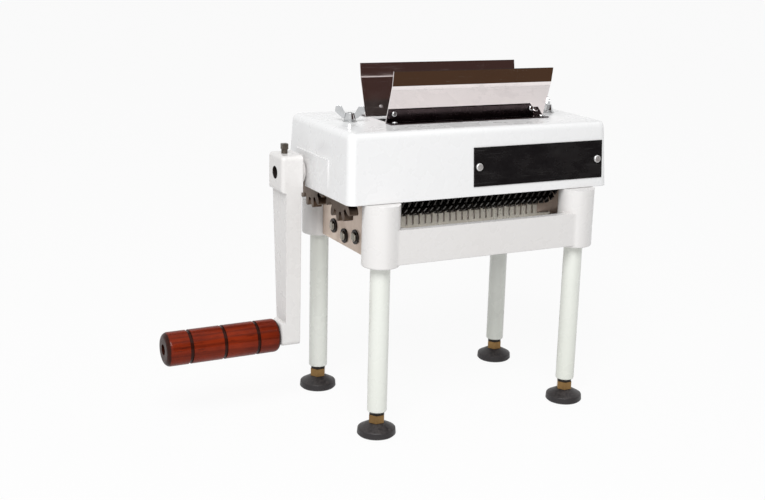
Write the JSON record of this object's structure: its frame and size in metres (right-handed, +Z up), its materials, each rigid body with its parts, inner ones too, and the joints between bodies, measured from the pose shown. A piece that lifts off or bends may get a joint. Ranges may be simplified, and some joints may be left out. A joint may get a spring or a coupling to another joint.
{
  "type": "hand crank meat tenderizer",
  "caption": "Table-top meat tenderizer on legs: a side crank turns two meshed toothed-blade rollers under a tapered lift-off hood with a feed chute and stripper combs.",
  "frame": {"origin": "middle of the overall box at floor level", "axes": "+X to the right seen from the front (the crank is on the left, at -X), +Y to the rear, +Z up"},
  "size_m": [0.5764, 0.236, 0.4577],
  "materials": {
    "white_enamel": "gloss",
    "cream_leg_paint": "gloss",
    "grey_plate": "satin",
    "black_plate": "gloss",
    "stainless": "brushed",
    "dark_stainless": "brushed",
    "gear_steel": "satin",
    "dark_steel": "satin",
    "zinc": "satin",
    "brass": "satin",
    "bronze": "satin",
    "black_rubber": "matte",
    "varnished_wood": "gloss"
  },
  "bodies": {
    "frame": {"front_left_leg": "cream_leg_paint", "front_left_bush": "bronze", "front_right_leg": "cream_leg_paint", "front_right_bush": "bronze", "rear_left_leg": "cream_leg_paint", "rear_left_bush": "bronze", "rear_right_leg": "cream_leg_paint", "rear_right_bush": "bronze", "front_casting": "white_enamel", "rear_casting": "white_enamel", "left_side_plate": "grey_plate", "right_side_plate": "grey_plate", "front_comb_bar": "dark_stainless", "front_comb": "stainless", "rear_comb_bar": "dark_stainless", "rear_comb": "stainless", "leg_inserts": "dark_steel", "jam_nuts": "brass", "leg_set_screws": "dark_steel", "frame_screws": "zinc", "tie_bolts": "zinc", "tie_washers": "dark_steel", "middle_tie_bar": "stainless", "comb_screws": "zinc", "hood_studs": "zinc"},
    "crank_drive": {"rear_shaft": "stainless", "rear_gear": "gear_steel", "rear_gear_key": "dark_steel", "rear_blades": "stainless", "rear_spacers": "dark_stainless", "rear_circlip": "dark_steel", "crank_arm": "white_enamel", "crank_clamp_screw": "zinc", "grip_spindle": "zinc"},
    "driven_roller": {"front_shaft": "stainless", "front_gear": "gear_steel", "front_gear_key": "dark_steel", "front_blades": "stainless", "front_spacers": "dark_stainless", "front_circlip": "dark_steel"},
    "hand_grip": {"crank_grip": "varnished_wood"},
    "feed_hood": {"hood": "white_enamel", "name_plate": "black_plate", "name_plate_rivets": "zinc", "front_chute_plate": "stainless", "rear_chute_plate": "stainless", "front_chute_angle": "dark_stainless", "rear_chute_angle": "dark_stainless", "chute_screws": "zinc", "hood_washers": "zinc"},
    "wing_nut_left": {"left_wing_nut": "zinc"},
    "wing_nut_right": {"right_wing_nut": "zinc"},
    "front_left_levelling_foot": {"front_left_foot": "black_rubber", "front_left_foot_stem": "zinc"},
    "front_right_levelling_foot": {"front_right_foot": "black_rubber", "front_right_foot_stem": "zinc"},
    "rear_left_levelling_foot": {"rear_left_foot": "black_rubber", "rear_left_foot_stem": "zinc"},
    "rear_right_levelling_foot": {"rear_right_foot": "black_rubber", "rear_right_foot_stem": "zinc"}
  },
  "joints": [
    {"name": "crank_turn", "type": "hinge", "parent": "frame", "child": "crank_drive", "pos_m": [0.0952, 0.0432, 0.3215], "axis": [1, 0, 0], "continuous": true},
    {"name": "driven_roller_turn", "type": "hinge", "parent": "frame", "child": "driven_roller", "pos_m": [0.0952, -0.0432, 0.3215], "axis": [1, 0, 0], "continuous": true},
    {"name": "grip_turn", "type": "hinge", "parent": "crank_drive", "child": "hand_grip", "pos_m": [-0.2122, 0.0362, 0.105], "axis": [1, 0, 0], "continuous": true},
    {"name": "hood_lift", "type": "slide", "parent": "frame", "child": "feed_hood", "axis": [0, 0, 1], "range_m": [0, 0.15]},
    {"name": "left_wing_nut_turn", "type": "hinge", "parent": "feed_hood", "child": "wing_nut_left", "pos_m": [-0.0518, 0, 0.395], "axis": [0, 0, 1], "continuous": true},
    {"name": "right_wing_nut_turn", "type": "hinge", "parent": "feed_hood", "child": "wing_nut_right", "pos_m": [0.2502, 0, 0.395], "axis": [0, 0, 1], "continuous": true},
    {"name": "front_left_foot_height", "type": "slide", "parent": "frame", "child": "front_left_levelling_foot", "axis": [0, 0, -1], "range_m": [0, 0.015]},
    {"name": "front_right_foot_height", "type": "slide", "parent": "frame", "child": "front_right_levelling_foot", "axis": [0, 0, -1], "range_m": [0, 0.015]},
    {"name": "rear_left_foot_height", "type": "slide", "parent": "frame", "child": "rear_left_levelling_foot", "axis": [0, 0, -1], "range_m": [0, 0.015]},
    {"name": "rear_right_foot_height", "type": "slide", "parent": "frame", "child": "rear_right_levelling_foot", "axis": [0, 0, -1], "range_m": [0, 0.015]}
  ],
  "couplings": [
    {"joint": "driven_roller_turn", "follows": "crank_turn", "ratio": -1}
  ]
}
